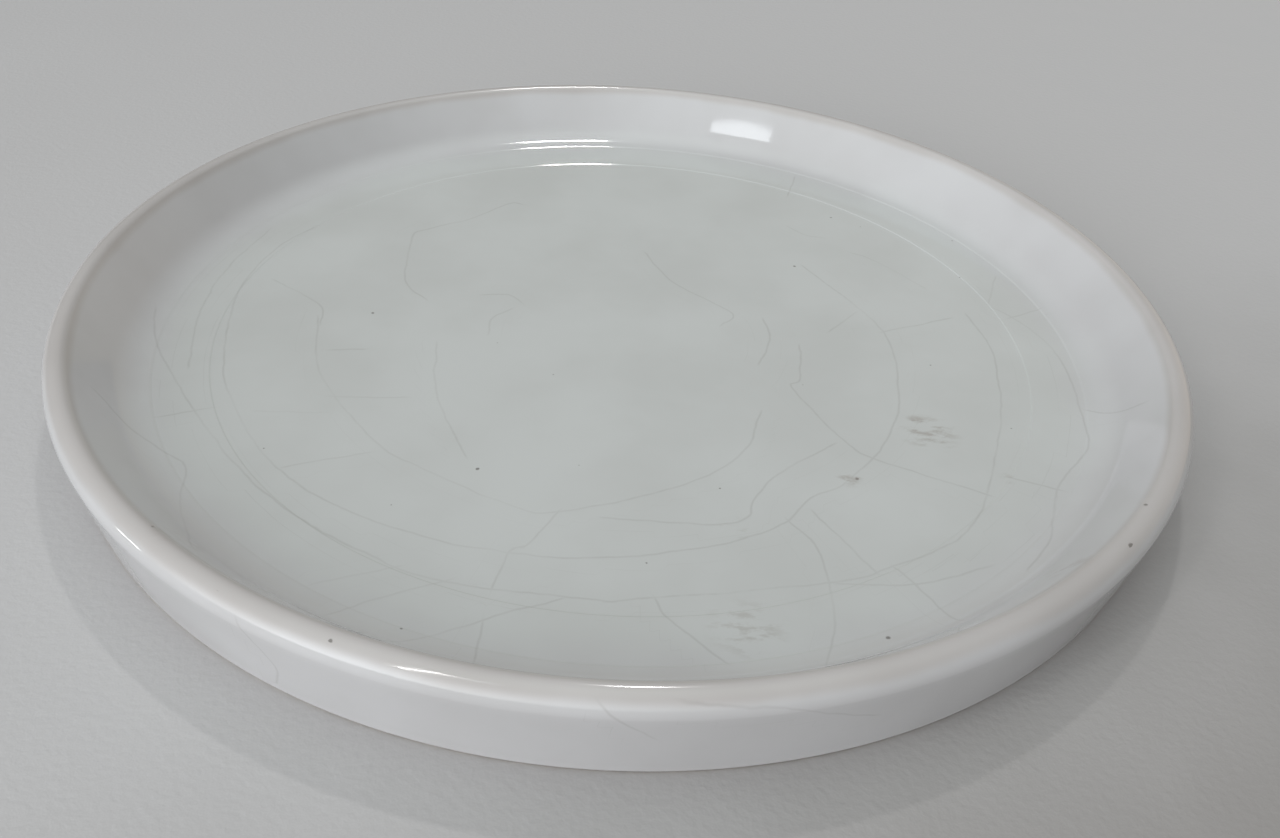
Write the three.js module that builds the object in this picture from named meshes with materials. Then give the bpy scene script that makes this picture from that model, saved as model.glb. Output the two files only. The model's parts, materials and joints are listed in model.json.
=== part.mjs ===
// A low white earthenware plate: a wide flat well with a sloping side, inside a short upright wall.
// It is one fired and glazed body, turned about the Z axis, so one closed outline describes it all.
// Millimetres, +Z up. The origin is under the plate's centre, on the surface that it stands on.
import * as THREE from "three";

// Driving dimensions.
const RIM_DIAMETER = 250; // across the outside of the lip
const HEIGHT = 21; // from the table to the top of the lip
const LIP_OUTER_RADIUS = 3.7; // the lip's rounding, from its top into the outer wall
const LIP_INNER_RADIUS = 2; // the tighter rounding from its top into the well's side
const BASE_DIAMETER = 242.6; // across the outside of the wall where it meets the table
const SIDE_SLOPE = THREE.MathUtils.degToRad(50); // the well's side, up from level
const COVE_RADIUS = 10; // the hollow curve between that side and the band
const BAND_WIDTH = 9; // the level band round the flat middle of the well
const BAND_RISE = 0.2; // how far the band stands above the middle
const BAND_STEP_WIDTH = 2; // the soft step from the band down to the middle, across
const FLOOR_HEIGHT = 7.9; // from the table to the flat middle of the well
const FOOT_RING_WIDTH = 7; // the flat ring of bare clay that the plate stands on
const FOOT_EDGE_RADIUS = 1; // the rounded edges of the foot ring
const RECESS_DEPTH = 3; // the underside inside the foot ring, above the table

// Fineness of the turned surface.
const STEPS_AROUND = 96;
const LIP_OUTER_STEPS = 5;
const LIP_INNER_STEPS = 3;
const COVE_STEPS = 6;
const EDGE_STEPS = 3;
const BAND_STEPS = 4;

const GLAZE = { color: 0xdedfdd, roughness: 0.12, metalness: 0 };

// Sizes that follow from the driving dimensions.
const rimRadius = RIM_DIAMETER / 2;
const baseRadius = BASE_DIAMETER / 2;
const lipRadius = rimRadius - LIP_OUTER_RADIUS; // out to the lip's highest line
const bandHeight = FLOOR_HEIGHT + BAND_RISE;
const lipOuterCentre = new THREE.Vector2(lipRadius, HEIGHT - LIP_OUTER_RADIUS);
const lipInnerCentre = new THREE.Vector2(lipRadius, HEIGHT - LIP_INNER_RADIUS);
const wallFoot = new THREE.Vector2(baseRadius, FOOT_EDGE_RADIUS);
const wallLean = findWallLean();
const coveCentre = findCoveCentre();

// The outer wall runs from the foot's edge up to where it touches the lip's outer rounding. Its
// lean is the angle from upright of the line from the one that touches the other.
function findWallLean() {
  const toCentre = lipOuterCentre.clone().sub(wallFoot);
  return Math.asin(LIP_OUTER_RADIUS / toCentre.length()) + Math.atan2(toCentre.x, toCentre.y);
}

// The well's side falls at its slope from the lip's inner rounding, and touches the cove where
// the cove has that slope too.
function findCoveCentre() {
  const sideTop = onArc(lipInnerCentre, LIP_INNER_RADIUS, Math.PI / 2 + SIDE_SLOPE);
  const sideFootHeight = bandHeight + COVE_RADIUS * (1 - Math.cos(SIDE_SLOPE));
  const sideFootRadius = sideTop.x - (sideTop.y - sideFootHeight) / Math.tan(SIDE_SLOPE);
  return new THREE.Vector2(
    sideFootRadius - COVE_RADIUS * Math.sin(SIDE_SLOPE),
    bandHeight + COVE_RADIUS,
  );
}

// A point on a circle. The angle is in radians, anticlockwise from outwards.
function onArc(centre, radius, angle) {
  return new THREE.Vector2(
    centre.x + radius * Math.cos(angle),
    centre.y + radius * Math.sin(angle),
  );
}

// Points along an arc, both ends included.
function arc(centre, radius, from, to, steps) {
  return Array.from({ length: steps + 1 }, (_, i) =>
    onArc(centre, radius, from + ((to - from) * i) / steps),
  );
}

// A soft step down, going inwards: half a cosine wave between two levels.
function softStep(outerRadius, width, fromHeight, toHeight) {
  return Array.from({ length: BAND_STEPS + 1 }, (_, i) => {
    const along = i / BAND_STEPS;
    const share = (1 - Math.cos(Math.PI * along)) / 2;
    return new THREE.Vector2(
      outerRadius - width * along,
      fromHeight + (toHeight - fromHeight) * share,
    );
  });
}

// Underside: a shallow recess, then the flat foot ring with its rounded edges.
function underside() {
  const ringInner = baseRadius - FOOT_RING_WIDTH;
  const innerEdge = new THREE.Vector2(ringInner + FOOT_EDGE_RADIUS, FOOT_EDGE_RADIUS);
  const outerEdge = new THREE.Vector2(baseRadius - FOOT_EDGE_RADIUS, FOOT_EDGE_RADIUS);
  return [
    new THREE.Vector2(0, RECESS_DEPTH),
    new THREE.Vector2(ringInner - FOOT_EDGE_RADIUS, RECESS_DEPTH),
    ...arc(innerEdge, FOOT_EDGE_RADIUS, Math.PI, 1.5 * Math.PI, EDGE_STEPS),
    ...arc(outerEdge, FOOT_EDGE_RADIUS, -Math.PI / 2, 0, EDGE_STEPS),
  ];
}

// The lip, from the outer wall over the top to the well's side. Points of the outline lie on its
// outermost and topmost places, so the plate's diameter and height are exact.
function lip() {
  const top = Math.PI / 2;
  return [
    ...arc(lipOuterCentre, LIP_OUTER_RADIUS, -wallLean, 0, 1),
    ...arc(lipOuterCentre, LIP_OUTER_RADIUS, 0, top, LIP_OUTER_STEPS).slice(1),
    ...arc(lipInnerCentre, LIP_INNER_RADIUS, top, top + SIDE_SLOPE, LIP_INNER_STEPS).slice(1),
  ];
}

// The inside: the cove at the side's foot, the raised band and the flat middle.
function well() {
  return [
    ...arc(coveCentre, COVE_RADIUS, SIDE_SLOPE - Math.PI / 2, -Math.PI / 2, COVE_STEPS),
    ...softStep(coveCentre.x - BAND_WIDTH, BAND_STEP_WIDTH, bandHeight, FLOOR_HEIGHT),
    new THREE.Vector2(0, FLOOR_HEIGHT),
  ];
}

function plateBody() {
  const outline = [...underside(), ...lip(), ...well()];
  const geometry = new THREE.LatheGeometry(outline, STEPS_AROUND);
  geometry.rotateX(Math.PI / 2);
  const mesh = new THREE.Mesh(geometry, new THREE.MeshStandardMaterial(GLAZE));
  mesh.name = "plate_body";
  return mesh;
}

const plate = new THREE.Group();
plate.name = "plate";
plate.add(plateBody());

export default plate;
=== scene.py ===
# %% [markdown]
# A low white plate, and what this lesson does with it.
#
# The plate is one piece of fired earthenware: a flat floor, a steep side and a rounded lip, all
# under a glossy white glaze that has crazed with age. The frame holds it as a plain solid at its
# real size. Here the solid is replaced by a finer body with the same section, and the glaze, its
# cracks and its stains are made with shader nodes.
#
# Everything is in metres, and the plate stands on z = 0 with its axis on the Z axis.

# %% Load the frame
import json
from math import asin, atan2, cos, degrees, pi, radians, sin, tan

import bmesh
import bpy
import numpy as np
from mathutils import Matrix, Vector

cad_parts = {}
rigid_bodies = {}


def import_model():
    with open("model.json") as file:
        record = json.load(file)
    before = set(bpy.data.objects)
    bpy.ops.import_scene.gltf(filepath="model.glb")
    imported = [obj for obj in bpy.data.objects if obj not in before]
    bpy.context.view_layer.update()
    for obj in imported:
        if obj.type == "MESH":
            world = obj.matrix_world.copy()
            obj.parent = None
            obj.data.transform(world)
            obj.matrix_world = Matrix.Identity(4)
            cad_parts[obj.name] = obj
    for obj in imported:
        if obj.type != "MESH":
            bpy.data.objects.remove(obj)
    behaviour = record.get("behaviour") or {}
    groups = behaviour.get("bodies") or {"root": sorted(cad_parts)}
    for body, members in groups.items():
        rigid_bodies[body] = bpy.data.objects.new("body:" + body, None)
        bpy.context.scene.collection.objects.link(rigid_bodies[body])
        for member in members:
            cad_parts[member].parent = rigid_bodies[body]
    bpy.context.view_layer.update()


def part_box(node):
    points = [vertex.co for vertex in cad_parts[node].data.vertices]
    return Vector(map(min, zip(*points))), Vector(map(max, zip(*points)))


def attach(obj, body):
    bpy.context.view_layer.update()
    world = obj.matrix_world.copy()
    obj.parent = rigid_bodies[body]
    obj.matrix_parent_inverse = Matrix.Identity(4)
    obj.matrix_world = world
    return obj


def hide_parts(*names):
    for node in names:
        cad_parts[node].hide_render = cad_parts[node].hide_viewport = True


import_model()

# %% [markdown]
# The camera.
#
# The photograph looks down on the plate at about a third of a right angle, from little more
# than a plate's width away, so the near side looks clearly larger than the far side. A camera
# could be turned by three angles. Naming the spot it stands on, the spot it looks at and how
# far it is tipped sideways says the same in numbers that can be pictured.

# %% Camera
CAMERA_PLACE = Vector((0.0, -0.2562, 0.168))
CAMERA_AIM = Vector((0.0043, -0.0227, 0.0))
CAMERA_ROLL = radians(3.95)
CAMERA_LENS = 36.06
SENSOR_WIDTH = 36.0
NEAREST_SEEN = 0.01

camera_data = bpy.data.cameras.new("view_camera")
camera_data.sensor_width = SENSOR_WIDTH
camera_data.lens = CAMERA_LENS
camera_data.clip_start = NEAREST_SEEN
camera = bpy.data.objects.new("view_camera", camera_data)
bpy.context.scene.collection.objects.link(camera)
level_view = (CAMERA_AIM - CAMERA_PLACE).to_track_quat("-Z", "Y").to_matrix().to_4x4()
camera.matrix_world = (
    Matrix.Translation(CAMERA_PLACE) @ level_view @ Matrix.Rotation(CAMERA_ROLL, 4, "Z")
)
bpy.context.scene.camera = camera
print("camera stands", round(1000 * CAMERA_PLACE.length), "mm from the plate's centre")

# %% [markdown]
# The plate's section.
#
# A potter makes such a plate by turning: a blade with the shape of the section is held against
# the spinning clay. The same can be done here. The section is drawn once, as a chain of edges in
# the plane of X and Z, and then spun about the Z axis. Drawing rings one above the other would
# give the same body, but the round stretches of the section are easier to get right as arcs.
#
# The outside sizes are read from the solid in the frame, so both stay the same.

# %% Sizes of the section
low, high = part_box("plate_body")
RIM_RADIUS = high[0]
HEIGHT = high[2]
LIP_OUTER_RADIUS = 0.0037
LIP_INNER_RADIUS = 0.002
BASE_RADIUS = 0.1213
SIDE_SLOPE = radians(50)
COVE_RADIUS = 0.01
COVE_END_SLOPE = radians(6)  # the cove flattens to this,
CREST_RADIUS = 0.0016
CREST_END_SLOPE = radians(22.5)  # the crest turns down to this,
HOLLOW_RADIUS = 0.0012  # and a last small hollow ends level on the band
BAND_HEIGHT = 0.00812
FLOOR_HEIGHT = 0.008
MIDDLE_RADIUS = 0.0933
BAND_STEP_WIDTH = 0.0005
FOOT_RING_WIDTH = 0.007
FOOT_EDGE_RADIUS = 0.001
RECESS_DEPTH = 0.003

lip_outer_centre = Vector((RIM_RADIUS - LIP_OUTER_RADIUS, 0.0, HEIGHT - LIP_OUTER_RADIUS))
lip_inner_centre = Vector((lip_outer_centre.x, 0.0, HEIGHT - LIP_INNER_RADIUS))
wall_foot = Vector((BASE_RADIUS, 0.0, FOOT_EDGE_RADIUS))
to_lip = lip_outer_centre - wall_foot
wall_lean = asin(LIP_OUTER_RADIUS / to_lip.length) + atan2(to_lip.x, to_lip.z)
print("wall leans out by", round(degrees(wall_lean), 1), "degrees")

# %% [markdown]
# Drawing with one vertex.
#
# In edit mode a single selected vertex is a pencil: extruding it draws a straight edge, and
# spinning it about a centre draws an arc. A few small helpers hold those strokes. Each leaves
# the new end selected, so strokes follow each other.

# %% Helpers for drawing the section
TURN_AXIS = (0.0, 1.0, 0.0)


def edit_mesh():
    return bmesh.from_edit_mesh(bpy.context.object.data)


def pick_vertex_at(place):
    """Selects only the vertex nearest to a place."""
    bpy.ops.mesh.select_all(action="DESELECT")
    mesh = edit_mesh()
    nearest = min(mesh.verts, key=lambda v: (v.co - place).length)
    nearest.select = True
    mesh.select_flush_mode()
    bmesh.update_edit_mesh(bpy.context.object.data)


def pencil_place():
    return next(v.co.copy() for v in edit_mesh().verts if v.select)


def straight_to(x, z, strokes=1):
    """Draws a straight stretch to a place, in equal strokes."""
    step = (Vector((x, 0.0, z)) - pencil_place()) / strokes
    for _ in range(strokes):
        bpy.ops.mesh.extrude_region_move(TRANSFORM_OT_translate={"value": step})


def arc_about(centre, angle, strokes):
    """Draws an arc about a centre, turning from X towards the table. Spin counts that as minus."""
    bpy.ops.mesh.spin(steps=strokes, angle=-angle, center=centre, axis=TURN_AXIS)


def slope_towards_axis(slope):
    """The way up from a slope that falls towards the axis: its normal."""
    return Vector((-sin(slope), 0.0, cos(slope)))


def hollow(radius, from_slope, to_slope, strokes):
    """Draws a hollow arc inwards, from one slope to a gentler one."""
    centre = pencil_place() + radius * slope_towards_axis(from_slope)
    arc_about(centre, from_slope - to_slope, strokes)


def crest(radius, from_slope, to_slope, strokes):
    """Draws a crest inwards, from one slope to a steeper one."""
    centre = pencil_place() - radius * slope_towards_axis(from_slope)
    arc_about(centre, from_slope - to_slope, strokes)


def soft_step_to(x, z, strokes):
    """Draws a soft step: half a cosine wave from here to a place."""
    start = pencil_place()
    for i in range(1, strokes + 1):
        share = i / strokes
        height = start.z + (z - start.z) * (1 - cos(pi * share)) / 2
        straight_to(start.x + (x - start.x) * share, height)


# %% [markdown]
# The lip comes first.
#
# A circle as thick as the lip is stood upright in the section's plane. Only the part from the
# outer wall's touch up to the top is kept. From the top the pencil goes on inwards, round the
# tighter inner edge, so the lip has its highest line near its outside, as a turned lip has.

# %% Draw the lip
LIP_VERTICES = 96

bpy.ops.object.select_all(action="DESELECT")
bpy.ops.mesh.primitive_circle_add(
    vertices=LIP_VERTICES,
    radius=LIP_OUTER_RADIUS,
    fill_type="NOTHING",
    location=lip_outer_centre,
    rotation=(pi / 2, 0.0, 0.0),
)
plate = bpy.context.object
plate.name = "plate_body_glazed"
plate.data.name = "plate_body_glazed"
bpy.ops.object.transform_apply(location=True, rotation=True, scale=True)
bpy.ops.object.mode_set(mode="EDIT")
bpy.ops.mesh.select_all(action="DESELECT")
one_step = 2 * pi / LIP_VERTICES
circle = edit_mesh()
for vertex in circle.verts:
    from_centre = vertex.co - lip_outer_centre
    angle = atan2(from_centre.z, from_centre.x)
    on_lip = one_step / 2 - wall_lean < angle < pi / 2 + one_step / 2
    vertex.select = not on_lip
circle.select_flush_mode()
bmesh.update_edit_mesh(plate.data)
bpy.ops.mesh.delete(type="VERT")
lip_top = lip_outer_centre + Vector((0.0, 0.0, LIP_OUTER_RADIUS))
pick_vertex_at(lip_top)
arc_about(lip_inner_centre, -SIDE_SLOPE, strokes=8)
side_top = pencil_place()
print("the lip's arcs have", len(edit_mesh().verts), "vertices")

# %% [markdown]
# The outside: wall, foot ring and underside.
#
# From the lip's outer end the pencil runs down the leaning wall, turns under it round a small
# edge, crosses the flat ring that the plate stands on and rises into the shallow recess. The
# last stretch ends on the axis, where spinning will close it.

# %% Draw the outside
wall_outwards = Vector((cos(wall_lean), 0.0, -sin(wall_lean)))
pick_vertex_at(lip_outer_centre + LIP_OUTER_RADIUS * wall_outwards)
straight_to(BASE_RADIUS, FOOT_EDGE_RADIUS, strokes=10)
arc_about((BASE_RADIUS - FOOT_EDGE_RADIUS, 0.0, FOOT_EDGE_RADIUS), pi / 2, strokes=6)
ring_inner = BASE_RADIUS - FOOT_RING_WIDTH
straight_to(ring_inner + FOOT_EDGE_RADIUS, 0.0, strokes=3)
arc_about((ring_inner + FOOT_EDGE_RADIUS, 0.0, FOOT_EDGE_RADIUS), pi / 2, strokes=5)
straight_to(ring_inner - FOOT_EDGE_RADIUS, RECESS_DEPTH, strokes=2)
straight_to(0.0, RECESS_DEPTH, strokes=12)
print("section so far:", len(edit_mesh().verts), "vertices")

# %% [markdown]
# The inside: side, cove, band and floor.
#
# The side falls evenly into the well and flattens through the cove. At the cove's foot the
# turning blade left a low crest, and where the flat middle begins it left a soft step of a tenth
# of a millimetre. Both are too small to see as shapes, but each bends the light into a thin
# bright line. The strokes stay short all over, because the cracks will be stored on the vertices.

# %% Draw the inside
cove_drop = (
    COVE_RADIUS * (cos(COVE_END_SLOPE) - cos(SIDE_SLOPE))
    + CREST_RADIUS * (cos(COVE_END_SLOPE) - cos(CREST_END_SLOPE))
    + HOLLOW_RADIUS * (1 - cos(CREST_END_SLOPE))
)
side_foot_height = BAND_HEIGHT + cove_drop
side_foot_radius = side_top.x - (side_top.z - side_foot_height) / tan(SIDE_SLOPE)
pick_vertex_at(side_top)
straight_to(side_foot_radius, side_foot_height, strokes=10)
hollow(COVE_RADIUS, SIDE_SLOPE, COVE_END_SLOPE, strokes=8)
crest(CREST_RADIUS, COVE_END_SLOPE, CREST_END_SLOPE, strokes=3)
hollow(HOLLOW_RADIUS, CREST_END_SLOPE, 0.0, strokes=8)
cove_foot = pencil_place().x
straight_to(MIDDLE_RADIUS + BAND_STEP_WIDTH, BAND_HEIGHT, strokes=5)
soft_step_to(MIDDLE_RADIUS, FLOOR_HEIGHT, strokes=8)
straight_to(0.0, FLOOR_HEIGHT, strokes=60)
print("whole section:", len(edit_mesh().verts), "vertices")
print("the cove ends at radius", round(1000 * cove_foot, 1), "mm")

# %% [markdown]
# Spinning the section.
#
# One full turn about the Z axis makes the body. The first and the last section lie on each
# other, and at both ends of the chain all sections meet on the axis, so doubled vertices are
# merged before the faces are made to point outwards. The many steps make it look round.

# %% Spin the section
TURN_STEPS = 384
MERGE_DISTANCE = 1e-6

bpy.ops.mesh.select_all(action="SELECT")
bpy.ops.mesh.spin(steps=TURN_STEPS, angle=2 * pi, center=(0.0, 0.0, 0.0), axis=(0.0, 0.0, 1.0))
bpy.ops.mesh.select_all(action="SELECT")
bpy.ops.mesh.remove_doubles(threshold=MERGE_DISTANCE)
bpy.ops.mesh.select_all(action="SELECT")
bpy.ops.mesh.normals_make_consistent(inside=False)
bpy.ops.object.mode_set(mode="OBJECT")
bpy.ops.object.shade_smooth()
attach(plate, "root")
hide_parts("plate_body")
print("body:", len(plate.data.vertices), "vertices,", len(plate.data.polygons), "faces")

# %% [markdown]
# A hand in the form.
#
# Nothing that was thrown and fired is quite true. A slow swell of a tenth of a millimetre
# goes over the clay, and the bright lines in the glaze waver with it. A vertex group keeps it
# from the foot, which was rubbed flat, and from the lip's outermost and topmost lines, so the
# plate still stands on the table and keeps its size.

# %% Unevenness
SWELL = 0.0001
SWELL_SIZE = 0.06
STILL_BELOW = 0.003
FOOT_FADE = 0.003
LIP_FADE = 0.004
RIM_FADE = 0.002
HAIR = 0.0001


def faded(distance, over):
    """None of it at no distance, and all of it from a given distance on."""
    return min(max(distance / over, 0.0), 1.0)


swelling = plate.vertex_groups.new(name="swelling")
for vertex in plate.data.vertices:
    radius = Vector((vertex.co.x, vertex.co.y)).length
    above_foot = faded(vertex.co.z - STILL_BELOW, FOOT_FADE)
    below_lip = faded(HEIGHT - vertex.co.z, LIP_FADE)
    inside_rim = faded(RIM_RADIUS - radius, RIM_FADE)
    underneath = vertex.co.z < RECESS_DEPTH + HAIR and radius < BASE_RADIUS
    share = 0.0 if underneath else above_foot * below_lip * inside_rim
    swelling.add([vertex.index], share, "REPLACE")
lumps = bpy.data.textures.new("slow_lumps", "CLOUDS")
lumps.noise_scale = SWELL_SIZE
lumps.noise_depth = 1
swell = plate.modifiers.new("swell", "DISPLACE")
swell.texture = lumps
swell.texture_coords = "LOCAL"
swell.vertex_group = "swelling"
swell.mid_level = 0.5
swell.strength = SWELL
bpy.ops.object.modifier_apply(modifier="swell")
print("box after swelling, mm:", [round(1000 * side, 2) for side in plate.dimensions])

# %% [markdown]
# Where the cracks run.
#
# The glaze has crazed: it shrank more than the clay under it and split in hair lines. Most run
# round the plate as open rings, as the clay was turned, and short ones join them. A noise
# texture gives cells and not rings, so each crack is put down as a few points in millimetres,
# seen from above, and a curve is drawn through them.

# %% Crack outlines
WELL_CRACKS = (
    ((-72, -1), (-66, -24), (-50, -47), (-39, -55), (-22, -64), (-11, -66), (14, -55), (26, -43),
     (30, -29)),
    ((-83, 43), (-90, 30), (-93, 7), (-87, -25), (-75, -48), (-61, -63), (-47, -71), (-30, -77)),
    ((-30, -77), (-8, -79), (14, -75), (31, -67), (39, -57), (45, -53), (53, -43)),
    ((53, -43), (56, -38), (61, -24), (63, -3), (60, 13), (45, 38)),
    ((-109, -3), (-105, -15), (-89, -40), (-74, -59), (-61, -71), (-45, -81), (-31, -87), (0, -90)),
    ((0, -90), (39, -82), (53, -76), (70, -63), (82, -31), (86, -11), (87, 3), (84, 18)),
    ((-94, 40), (-99, 18), (-99, -3), (-95, -24)),
    ((92, 22), (98, 14), (102, 4), (103, -9), (102, -23), (100, -35), (91, -48), (84, -67),
     (78, -76)),
    ((71, -75), (56, -81), (42, -82)),
    ((-106, -45), (-90, -55), (-85, -59), (-82, -71), (-73, -90)),
    ((-43, -9), (-40, -29), (-31, -50)),
    ((-32, -3), (-32, 3), (-28, 8)),
    ((-26, 12), (-29, 15), (-35, 14)),
    ((33, 10), (34, 2), (31, -9)),
    ((4, 40), (11, 26), (25, 13), (23, 7)),
    ((-31, 64), (-34, 64), (-43, 54), (-54, 46), (-57, 41), (-55, 19), (-49, 11)),
    ((-86, 15), (-73, 5), (-71, -3)),
    ((43, 60), (47, 56), (51, 55)),
    ((59, 47), (65, 43), (75, 31)),
    ((47, 92), (44, 80)),
    ((95, 38), (91, 25)),
    ((95, 18), (103, 23)),
    ((62, 8), (79, 16)),
    ((49, 7), (56, 16)),
    ((-11, -66), (-16, -76), (-19, -78), (-21, -88)),
    ((-30, -87), (-40, -92), (-45, -95), (-48, -98)),
    ((-39, -84), (-53, -90)),
    ((-9, -90), (-27, -99), (-45, -110)),
    ((-22, -97), (-22, -107)),
    ((-66, -57), (-51, -51)),
    ((-95, -43), (-86, -39)),
    ((-76, -39), (-63, -38)),
    ((-62, -32), (-47, -31)),
    ((-66, -14), (-59, -13)),
    ((-2, -67), (20, -67), (26, -64), (27, -60), (32, -51), (45, -39)),
    ((41, -1), (40, -15), (38, -19), (48, -38), (53, -43), (75, -53)),
    ((34, -65), (39, -74), (40, -91), (37, -104)),
    ((39, -62), (49, -78)),
    ((53, -77), (56, -81), (59, -86), (62, -92)),
    ((81, -47), (90, -50)),
    ((104, -21), (112, -27)),
    ((8, -89), (10, -93), (17, -100), (20, -103)),
)
# On the outer wall: millimetres round from the front, and height.
OUTER_CRACKS = (
    ((13, 20), (20, 19), (30, 17.5), (45, 11)),
    ((0, 19), (8, 12)),
    ((-62, 18), (-57, 9), (-59, 2)),
)

# %% [markdown]
# The cracks on the vertices.
#
# A hair line is far thinner than a face, so it isn't stored as a colour. Each vertex near a
# crack stores how far it lies from it, with a sign for the side, and the shader paints the line
# where that distance passes through zero. Two cracks close together would mix up their signs,
# so cracks are sorted into families whose members keep well apart.

# %% Cracks onto the vertices
CRACK_REACH = 0.004
FAMILY_GAP = 0.0095
CRACK_END = 0.0015
SAMPLES_A_STRETCH = 20
BELOW_LIP = 0.0005
BELOW_FLOOR = 0.001


def smooth_line(points):
    """A curve through a few points in millimetres, as many close points in metres."""
    points = np.array([points[0], *points, points[-1]], dtype=float) / 1000
    share = np.linspace(0.0, 1.0, SAMPLES_A_STRETCH, endpoint=False)[:, None]
    stretches = []
    for before, start, end, after in zip(points, points[1:], points[2:], points[3:]):
        bend = 2 * before - 5 * start + 4 * end - after
        twist = 3 * start - before - 3 * end + after
        way = 2 * start + (end - before) * share + bend * share ** 2 + twist * share ** 3
        stretches.append(way / 2)
    return np.vstack([*stretches, points[-1:]])


def sort_apart(lines):
    """Puts lines into families whose members keep at least the gap from each other."""
    families = []
    for line in lines:
        for family in families:
            if all(distances(line, other).min() > FAMILY_GAP for other in family):
                family.append(line)
                break
        else:
            families.append([line])
    return families


def distances(places, line):
    across = np.subtract.outer(places[:, 0], line[:, 0])
    along = np.subtract.outer(places[:, 1], line[:, 1])
    return np.sqrt(across ** 2 + along ** 2)


def store_line(line, places, usable, offset, strength):
    """Writes a line's signed distance and its strength onto the vertices that it passes."""
    low_corner = line.min(axis=0) - CRACK_REACH
    high_corner = line.max(axis=0) + CRACK_REACH
    inside = ((places > low_corner) & (places < high_corner)).all(axis=1)
    near = np.flatnonzero(inside & usable)
    gaps = distances(places[near], line)
    nearest = gaps.argmin(axis=1)
    reached = gaps.min(axis=1) < CRACK_REACH
    near = near[reached]
    nearest = nearest[reached]
    way = np.gradient(line, axis=0)
    way /= np.linalg.norm(way, axis=1, keepdims=True)
    away = places[near] - line[nearest]
    side = way[nearest, 0] * away[:, 1] - way[nearest, 1] * away[:, 0]
    past_end = np.abs((away * way[nearest]).sum(axis=1))
    offset[near] = side
    strength[near] = np.clip(1 - past_end / CRACK_END, 0.0, 1.0)


def store_number(name, numbers):
    attribute = plate.data.attributes.new(name, "FLOAT", "POINT")
    attribute.data.foreach_set("value", numbers.astype(np.float32))


corners = np.empty(3 * len(plate.data.vertices))
plate.data.vertices.foreach_get("co", corners)
corners = corners.reshape(-1, 3)
radii = np.hypot(corners[:, 0], corners[:, 1])
rounding = np.arctan2(corners[:, 0], -corners[:, 1]) * RIM_RADIUS
from_above = corners[:, :2]
unrolled = np.column_stack([rounding, corners[:, 2]])
on_wall = (radii > BASE_RADIUS) & (corners[:, 2] < HEIGHT - BELOW_LIP)
on_well = ~on_wall & (corners[:, 2] > FLOOR_HEIGHT - BELOW_FLOOR)

families = sort_apart([smooth_line(points) for points in WELL_CRACKS])
outer_lines = [smooth_line(points) for points in OUTER_CRACKS]
crack_names = []
for number, family in enumerate(families):
    offset = np.full(len(corners), CRACK_REACH)
    strength = np.zeros(len(corners))
    for line in family:
        store_line(line, from_above, on_well, offset, strength)
    if number == 0:
        for line in outer_lines:
            store_line(line, unrolled, on_wall, offset, strength)
    name = f"crack_{number + 1}"
    store_number(name + "_offset", offset)
    store_number(name + "_strength", strength)
    crack_names.append(name)
print(len(WELL_CRACKS) + len(OUTER_CRACKS), "cracks in", len(families), "families")

# %% [markdown]
# Pinholes.
#
# Where gas left the clay in the kiln the glaze has a pinhole, and dirt has settled in it. They
# are stored in the same way as the cracks: each vertex near one holds the way to its middle and
# its size, so the shader can draw a dot that is much smaller than a face.

# %% Pinholes onto the vertices
PINHOLE_REACH = 0.003
# Millimetres across, millimetres away, and the radius in hundredths of a millimetre.
PINHOLES = (
    (-59.9, 2.7, 45), (-29.4, -7.1, 25), (-28.1, -54.2, 50), (-43.1, -66.8, 25),
    (-35.5, -99.7, 35), (-71.5, -51.5, 30), (-7.9, -51.1, 25), (-15.6, -18.8, 25),
    (71.1, -5.7, 30), (40.4, -17, 25), (48.9, -95.7, 55), (20.6, -55.9, 30), (98.5, -69.6, 45),
    (84.9, -29.3, 30), (55.1, 67.3, 40), (42.7, 37.9, 45), (87.3, 57.5, 30), (85.7, 37.3, 30),
    (-63.7, -105.8, 50), (-43.2, -115.3, 50), (92.7, -81.5, 90), (6.3, -79.2, 30),
    (48.8, -50.2, 50), (-78.6, -91.2, 35), (62.8, 62.8, 25),
)

middles = np.array(PINHOLES)[:, :2] / 1000
hole_sizes = np.array(PINHOLES)[:, 2] / 100000
gaps = distances(from_above, middles)
nearest = gaps.argmin(axis=1)
reached = (gaps.min(axis=1) < PINHOLE_REACH) & on_well
ways = np.zeros((len(corners), 3))
ways[:, :2] = from_above - middles[nearest]
ways[reached, 2] = hole_sizes[nearest[reached]]
attribute = plate.data.attributes.new("pinhole", "FLOAT_VECTOR", "POINT")
attribute.data.foreach_set("vector", ways.ravel().astype(np.float32))
print(len(PINHOLES), "pinholes on", int(reached.sum()), "vertices")

# %% [markdown]
# Sums with sockets.
#
# A finish is worked out from where a point lies on the plate, and that takes a good deal of
# arithmetic. Math nodes could be wired one by one, but a formula is easier to read. So one
# small class wraps a socket, and each sign between two of them adds the Math node it stands
# for. Every other node is made by one method that takes its kind, its settings and its inputs.

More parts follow.
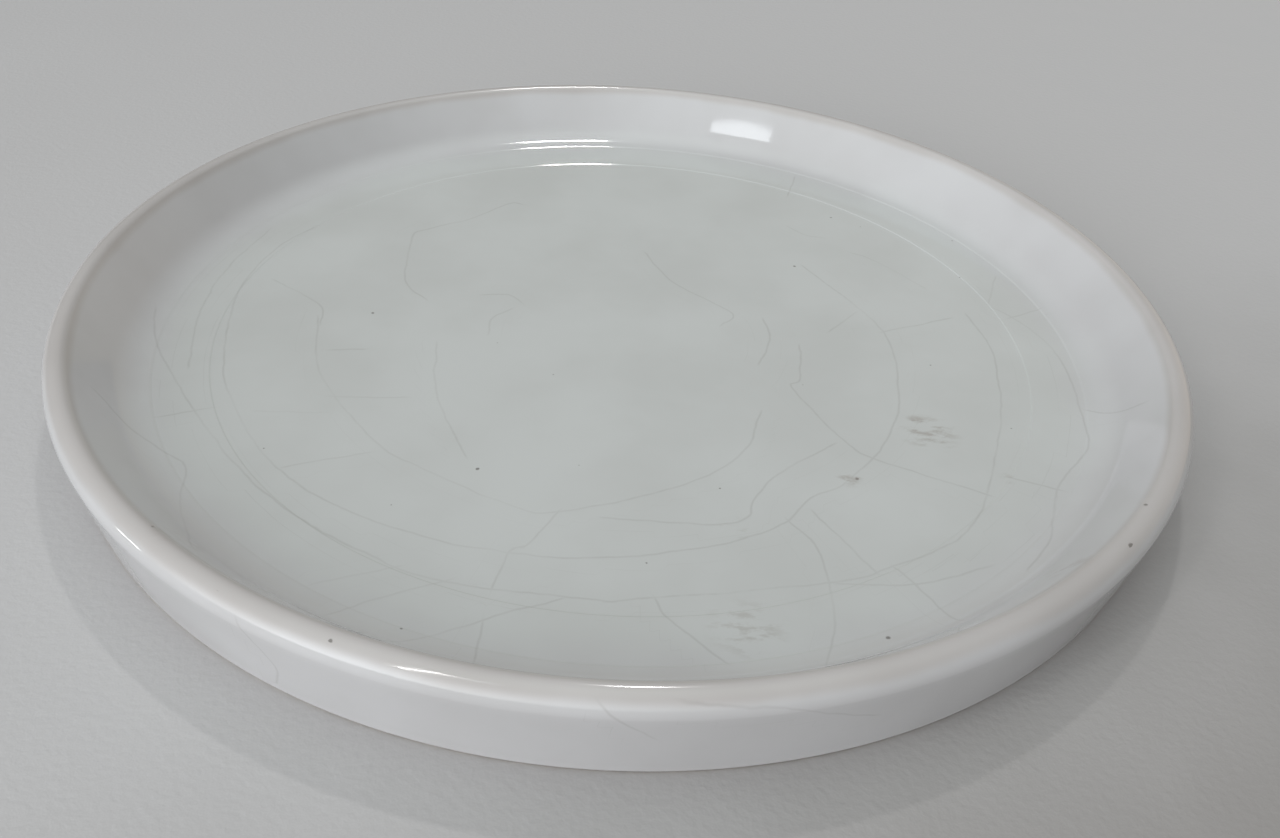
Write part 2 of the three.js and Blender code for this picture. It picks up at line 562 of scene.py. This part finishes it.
# %% Shader maths
class Amount:
    """An output socket that can stand in a formula."""

    def __init__(self, finish, socket):
        self.finish = finish
        self.socket = socket

    def math(self, operation, *others):
        inputs = dict(enumerate((self, *others)))
        return self.finish.add("ShaderNodeMath", {"operation": operation}, inputs)

    def __add__(self, other):
        return self.math("ADD", other)

    def __sub__(self, other):
        return self.math("SUBTRACT", other)

    def __mul__(self, other):
        return self.math("MULTIPLY", other)

    def __rsub__(self, other):
        return self * -1 + other

    __radd__ = __add__
    __rmul__ = __mul__

    def fade(self, start, end, low=0.0, high=1.0):
        """Goes smoothly from low to high as the amount goes from start to end."""
        return self.finish.add(
            "ShaderNodeMapRange",
            {"interpolation_type": "SMOOTHSTEP", "clamp": True},
            {"Value": self, "From Min": start, "From Max": end, "To Min": low, "To Max": high},
        )

    def largest(self, other):
        return self.math("MAXIMUM", other)

    def size(self):
        return self.math("ABSOLUTE")


def flat_length(x, y):
    """How long a way is, from its two parts."""
    return (x * x + y * y).math("SQRT")


class Finish:
    """The nodes of a material or of the world, and the one way that they are added."""

    def __init__(self, owner):
        owner.use_nodes = True
        self.owner = owner
        self.tree = owner.node_tree
        self.tree.nodes.clear()

    def add(self, kind, settings=None, inputs=None, output=None):
        node = self.tree.nodes.new(kind)
        for name, value in (settings or {}).items():
            setattr(node, name, value)
        for name, value in (inputs or {}).items():
            self.plug(value, self.socket(node.inputs, name))
        if node.outputs:
            return Amount(self, self.socket(node.outputs, output or 0))

    def socket(self, sockets, name):
        """Finds a socket in use by its name, or by its number."""
        if isinstance(name, int):
            return [s for s in sockets if s.enabled][name]
        return next(s for s in sockets if s.enabled and s.name == name)

    def plug(self, value, socket):
        if isinstance(value, Amount):
            self.tree.links.new(value.socket, socket)
        else:
            socket.default_value = value

    def mix(self, share, first, second):
        """Mixes two colours: none of the second at 0, all of it at 1."""
        return self.add(
            "ShaderNodeMix",
            {"data_type": "RGBA", "clamp_factor": True},
            {"Factor": share, "A": first, "B": second},
        )

    def vector(self, operation, first, second):
        return self.add("ShaderNodeVectorMath", {"operation": operation}, {0: first, 1: second})

    def split(self, vector):
        """Takes a vector apart into its three amounts."""
        first = self.add("ShaderNodeSeparateXYZ", {}, {"Vector": vector})
        return [Amount(self, socket) for socket in first.socket.node.outputs]

    def bump(self, height):
        """The normals of a surface that rises by a height, in metres."""
        return self.add("ShaderNodeBump", {}, {"Strength": 1.0, "Distance": 1.0, "Height": height})

    def stored(self, name, output="Fac"):
        """Reads what the vertices store under a name."""
        return self.add("ShaderNodeAttribute", {"attribute_name": name}, output=output)

    def noise(self, place, size, detail=2.0, roughness=0.5):
        """Cloudy noise about a half, with lumps about as big as size, in metres."""
        return self.add(
            "ShaderNodeTexNoise",
            {},
            {"Vector": place, "Scale": 1 / size, "Detail": detail, "Roughness": roughness},
        )

    def principled(self, colour, roughness, normal):
        """A surface that reflects as glaze, clay and paint do."""
        return self.add(
            "ShaderNodeBsdfPrincipled",
            {},
            {"Base Color": colour, "Roughness": roughness, "Normal": normal},
        )

    def give_to(self, piece):
        piece.data.materials.clear()
        piece.data.materials.append(self.owner)


# %% [markdown]
# The glaze.
#
# The glaze is a layer of glass over pale clay: off-white, nearly mirror smooth, and a little
# uneven, because it flowed while it was hot. It drew away from the lip, so the clay shows
# through there, warmer and darker, and it lies thickest on the floor, where it looks a little
# green. Cracks, pinholes and stains are laid over that colour one after the other.

# %% Glaze
FLOOR_WHITE = (0.53, 0.547, 0.538, 1.0)
SIDE_WHITE = (0.53, 0.53, 0.537, 1.0)
LIP_WHITE = (0.465, 0.447, 0.438, 1.0)
CLOUD_SHADE = (0.93, 0.925, 0.92, 1.0)
CLOUD_SIZE = 0.03
CLOUD_RANGE = 0.3, 0.75
SIDE_FADE = 0.098, 0.114
SIDE_FADE_WANDER = 0.012
BELOW_LIP_FADE = 0.0022, 0.0006
LIP_FADE_WANDER = 0.0015

glaze = Finish(bpy.data.materials.new("white_glaze"))
place = glaze.add("ShaderNodeTexCoord", output="Object")
across, away, height = glaze.split(place)
radius = flat_length(across, away)

clouds = glaze.noise(place, CLOUD_SIZE, detail=3.0)
on_side = (radius + (clouds - 0.5) * SIDE_FADE_WANDER).fade(*SIDE_FADE)
lip_fade = [HEIGHT - below for below in BELOW_LIP_FADE]
on_lip = (height + (clouds - 0.5) * LIP_FADE_WANDER).fade(*lip_fade)
colour = glaze.mix(on_side, FLOOR_WHITE, SIDE_WHITE)
colour = glaze.mix(on_lip, colour, LIP_WHITE)
colour = glaze.add(
    "ShaderNodeMix",
    {"data_type": "RGBA", "blend_type": "MULTIPLY"},
    {"Factor": clouds.fade(*CLOUD_RANGE), "A": colour, "B": CLOUD_SHADE},
)

# %% [markdown]
# Cracks and pinholes in the glaze.
#
# The stored distances are made to wander by a fine noise, so the lines have the small kinks of
# split glass. A slower noise lets them come and go, as dirt has got into some of them only.

# %% Cracks and pinholes
CRACK_BROWN = (0.27, 0.25, 0.24, 1.0)
CRACK_HALF_WIDTH = 0.0004
CRACK_WANDER = 0.0012
KINK_SIZE = 0.006
CRACK_STRENGTH = 0.26
DIRT_SIZE = 0.025
DIRT_RANGE = 0.3, 0.6
LEAST_DIRT = 0.35
PINHOLE_BROWN = (0.1, 0.09, 0.08, 1.0)
PINHOLE_EDGE = 0.00025
PINHOLE_STRENGTH = 0.75
PINHOLE_RAGS = 0.0006
RAGGEDNESS = 0.8

wander = (glaze.noise(place, KINK_SIZE, detail=2.0) - 0.5) * CRACK_WANDER
dirt = glaze.noise(place, DIRT_SIZE, detail=1.0).fade(*DIRT_RANGE, LEAST_DIRT, 1.0)
cracks = None
for name in crack_names:
    offset = glaze.stored(name + "_offset")
    line = (offset + wander).size().fade(CRACK_HALF_WIDTH, 0.0) * glaze.stored(name + "_strength")
    cracks = line if cracks is None else cracks.largest(line)
colour = glaze.mix(cracks * dirt * CRACK_STRENGTH, colour, CRACK_BROWN)

way_across, way_away, hole_size = glaze.split(glaze.stored("pinhole", output="Vector"))
from_middle = flat_length(way_across, way_away)
ragged = (glaze.noise(place, PINHOLE_RAGS, detail=1.0) - 0.5) * RAGGEDNESS
pinhole = (hole_size - from_middle - ragged * hole_size).fade(0.0, PINHOLE_EDGE)
colour = glaze.mix(pinhole * PINHOLE_STRENGTH, colour, PINHOLE_BROWN)

# %% [markdown]
# Stains.
#
# Tea or paint has dried on the floor in a few thin grey-brown smudges. Each one is a spot on
# the plate with a reach, broken up by a fine noise that is drawn out sideways, so that it looks
# like a smear and not a disc.

# %% Stains
# Where each stain lies, in metres, how far it reaches, and how strong it is.
STAINS = (
    ((0.0664, -0.0326), 0.008, 0.55),
    ((0.0644, -0.0291), 0.0035, 0.6),
    ((0.0473, -0.0502), 0.0035, 0.5),
    ((0.0231, -0.0678), 0.004, 0.35),
    ((0.0242, -0.0949), 0.009, 0.35),
    ((0.0801, -0.0474), 0.0025, 0.35),
    ((-0.0745, -0.0905), 0.006, 0.2),
    ((0.0815, -0.0840), 0.005, 0.35),
)
STAIN_BROWN = (0.3, 0.27, 0.24, 1.0)
SMEAR_SIZE = 0.0028
SMEAR_RANGE = 0.46, 0.62
DRAWN_OUT = (0.45, 1.0, 1.0)
FULL_SHARE = 0.3  # how much of its reach a stain covers fully
STAINS_END_BELOW = 0.002, 0.001  # so the underside has none

drawn_out = glaze.vector("MULTIPLY", place, DRAWN_OUT)
smear = glaze.noise(drawn_out, SMEAR_SIZE, detail=4.0, roughness=0.65).fade(*SMEAR_RANGE)
stains = None
for (stain_x, stain_y), reach, strength in STAINS:
    gap = flat_length(across - stain_x, away - stain_y)
    spot = gap.fade(reach, reach * FULL_SHARE) * strength
    stains = spot if stains is None else stains.largest(spot)
above_underside = height.fade(*(FLOOR_HEIGHT - below for below in STAINS_END_BELOW))
stain_share = stains * smear * above_underside
colour = glaze.mix(stain_share, colour, STAIN_BROWN)

# %% [markdown]
# Gloss, and the bare foot.
#
# The glaze mirrors sharply. A slow unevenness bends the mirrored lights a little, cracks are
# fine grooves, and stains are duller. Under the foot ring there is no glaze: the plate stood on
# it in the kiln, so there the surface is plain clay, warm and matt.

# %% Gloss and foot
FLOW_SIZE = 0.03
FLOW_HEIGHT = 0.00004
RIPPLE_SIZE = 0.006
RIPPLE_HEIGHT = 0.000002
CRACK_DEPTH = 0.000008
PINHOLE_DEPTH = 0.000024
GLOSS_RANGE = 0.3, 0.7
GLOSS = 0.03, 0.05
DULLER_LIP = 0.06
DULLER_STAIN = 0.3
DULLER_PINHOLE = 0.3
BARE_CLAY = (0.62, 0.55, 0.46, 1.0)
WORN_CLAY = (0.4, 0.34, 0.28, 1.0)
WEAR = 0.5
WEAR_SIZE = 0.012
WEAR_RANGE = 0.45, 0.65
CLAY_ROUGHNESS = 0.85
CLAY_GRAIN_SIZE = 0.0008
CLAY_GRAIN_HEIGHT = 0.00008
GLAZE_EDGE = 0.0006, 0.0002
GLAZE_EDGE_WANDER = 0.0004

flow = glaze.noise(place, FLOW_SIZE, detail=1.0) * FLOW_HEIGHT
ripple = glaze.noise(place, RIPPLE_SIZE, detail=1.0) * RIPPLE_HEIGHT
groove = cracks * CRACK_DEPTH + pinhole * PINHOLE_DEPTH
glaze_relief = glaze.bump(flow + ripple - groove)
duller = on_lip * DULLER_LIP + stain_share * DULLER_STAIN + pinhole * DULLER_PINHOLE
glassy = glaze.principled(colour, clouds.fade(*GLOSS_RANGE, *GLOSS) + duller, glaze_relief)

clay_grain = glaze.noise(place, CLAY_GRAIN_SIZE, detail=3.0, roughness=0.7)
clay_relief = glaze.bump(clay_grain * CLAY_GRAIN_HEIGHT)
worn = glaze.noise(place, WEAR_SIZE, detail=3.0).fade(*WEAR_RANGE)
clay_colour = glaze.mix(worn * WEAR, BARE_CLAY, WORN_CLAY)
matt = glaze.principled(clay_colour, CLAY_ROUGHNESS, clay_relief)
bare = (height + (clay_grain - 0.5) * GLAZE_EDGE_WANDER).fade(*GLAZE_EDGE)
surface = glaze.add("ShaderNodeMixShader", {}, {0: bare, 1: glassy, 2: matt})
glaze.add("ShaderNodeOutputMaterial", {}, {"Surface": surface})
glaze.give_to(plate)
print("the glaze has", len(glaze.tree.nodes), "nodes")

# %% [markdown]
# The floor.
#
# The plate stands on one plain, pale grey plane. Its colour is darker towards the right and the
# viewer: a painted shade, put where less light reached the floor. It has a faint grain so that the
# shadow lies on something. It is only a stage for the picture and doesn't belong to the part.

# %% Floor
FLOOR_SIZE = 8.0
FLOOR_LIGHT = (0.488, 0.483, 0.486, 1.0)
# The darker colour below is painted shade, put where less light falls towards the right and the
# viewer.
FLOOR_PAINTED_SHADE = (0.285, 0.272, 0.264, 1.0)
TOWARDS_PAINTED_SHADE = (0.6, -0.8, 0.0)
PAINTED_SHADE_RANGE = 0.03, 0.2
PATCH_SIZE = 0.05
PATCH_RANGE = 0.2, 0.8
PATCH_WANDER = 0.05
PAINT_GRAIN_SIZE = 0.0016
PAINT_GRAIN_HEIGHT = 0.00012
PAINT_ROUGHNESS = 0.55, 0.7

bpy.ops.object.select_all(action="DESELECT")
bpy.ops.mesh.primitive_plane_add(size=FLOOR_SIZE, location=(0.0, 0.0, 0.0))
floor = bpy.context.object
floor.name = "floor"
paint = Finish(bpy.data.materials.new("pale_paint"))
place = paint.add("ShaderNodeTexCoord", output="Object")
along = paint.vector("DOT_PRODUCT", place, TOWARDS_PAINTED_SHADE)
grain = paint.noise(place, PAINT_GRAIN_SIZE, detail=2.0)
patches = paint.noise(place, PATCH_SIZE, detail=3.0)
# Painted shade: the floor's colour darkens towards the right and the viewer.
shade = (along + (patches - 0.5) * PATCH_WANDER).fade(*PAINTED_SHADE_RANGE)
surface = paint.principled(
    paint.mix(shade, FLOOR_LIGHT, FLOOR_PAINTED_SHADE),
    patches.fade(*PATCH_RANGE, *PAINT_ROUGHNESS),
    paint.bump(grain * PAINT_GRAIN_HEIGHT),
)
paint.add("ShaderNodeOutputMaterial", {}, {"Surface": surface})
paint.give_to(floor)

# %% [markdown]
# The light.
#
# Glossy glaze shows where its light comes from. The short bright bars on the lip and in the cove
# are one small lamp beyond the plate, which also throws the shadow towards the viewer. The cool
# patch on the far side mirrors a wide, low lamp high behind the viewer, as a window is. The bars
# on the lip at the left mirror a narrow upright lamp close by, and one just above the floor. A
# lamp is mirrored where the ray from the viewer, turned back by the glaze, runs into it, so its
# place is found from the spot that shows it. Apart from the first they hardly light the clay.

# %% Lamps
def direction(azimuth, elevation):
    """A unit vector. Azimuth is in degrees from +Y towards +X, elevation from the floor up."""
    flat = cos(radians(elevation))
    turn = radians(azimuth)
    return Vector((flat * sin(turn), flat * cos(turn), sin(radians(elevation))))


def add_lamp(name, azimuth, elevation, wide, tall, distance, radiance, colour, roll=0.0):
    """A flat lamp that faces the plate. Its width, height and roll are in degrees."""
    light = bpy.data.lights.new(name, "AREA")
    light.shape = "RECTANGLE"
    light.size = 2 * distance * tan(radians(wide) / 2)
    light.size_y = 2 * distance * tan(radians(tall) / 2)
    light.energy = radiance * pi * light.size * light.size_y
    light.color = colour
    lamp = bpy.data.objects.new(name, light)
    bpy.context.scene.collection.objects.link(lamp)
    towards = direction(azimuth, elevation)
    level = towards.to_track_quat("Z", "Y").to_matrix().to_4x4()
    turned = level @ Matrix.Rotation(radians(roll), 4, "Z")
    lamp.matrix_world = Matrix.Translation(towards * distance) @ turned


LAMP_WHITE = (1.0, 0.99, 0.97)
WINDOW_WHITE = (0.9, 0.95, 1.0)
PURE_WHITE = (1.0, 1.0, 1.0)

add_lamp(
    "key_lamp", azimuth=4.2, elevation=61.5, wide=2.4, tall=1.8,
    distance=6.0, radiance=230.0, colour=LAMP_WHITE,
)
add_lamp(
    "window_lamp", azimuth=-142.9, elevation=59.5, wide=10.7, tall=1.5,
    distance=1.316, radiance=7.0, colour=WINDOW_WHITE, roll=13.0,
)
add_lamp(
    "left_lamp", azimuth=-146.2, elevation=45.9, wide=1.5, tall=18.3,
    distance=0.502, radiance=28.0, colour=LAMP_WHITE,
)
add_lamp(
    "low_left_lamp", azimuth=-94.0, elevation=1.5, wide=6.0, tall=4.0,
    distance=3.0, radiance=12.0, colour=PURE_WHITE,
)

# %% [markdown]
# The room.
#
# The rest of the light is soft. Most of it comes low from the left behind the viewer, where
# there is a window, and from above, and a little comes from the other sides. Each direction is
# a smooth glow in the world's background, so no hard edge is mirrored in the glaze.

# %% Room
GLOW_NARROWNESS = 7.4
# Azimuth and elevation in degrees, strength, and colour.
GLOWS = (
    (-135.0, 8.0, 4.25, (0.98, 1.0, 1.02)),
    (180.0, 8.0, 1.2, (1.0, 1.02, 0.98)),
    (0.0, 8.0, 0.29, (1.0, 1.05, 0.92)),
    (45.0, 8.0, 0.75, (1.1, 0.96, 0.85)),
    (180.0, 35.0, 0.3, (1.05, 0.9, 1.05)),
    (-45.0, 35.0, 0.11, (1.2, 0.9, 0.8)),
    (0.0, 62.0, 0.36, (0.95, 0.9, 1.15)),
    (0.0, 90.0, 1.21, (0.95, 1.06, 0.99)),
)

room = Finish(bpy.data.worlds.new("room"))
towards = room.add("ShaderNodeTexCoord", output="Generated")
light = None
for azimuth, elevation, strength, tint in GLOWS:
    facing = room.vector("DOT_PRODUCT", towards, direction(azimuth, elevation))
    glow = ((facing - 1) * GLOW_NARROWNESS).math("EXPONENT") * strength
    tinted = room.add("ShaderNodeVectorMath", {"operation": "SCALE"}, {0: tint, "Scale": glow})
    light = tinted if light is None else room.vector("ADD", light, tinted)
background = room.add("ShaderNodeBackground", {}, {"Color": light, "Strength": 1.0})
room.add("ShaderNodeOutputWorld", {}, {"Surface": background})
bpy.context.scene.world = room.owner

# %% [markdown]
# The view.
#
# Colours are shown as they are written, with the standard view transform.

# %% View
bpy.context.scene.view_settings.view_transform = "Standard"
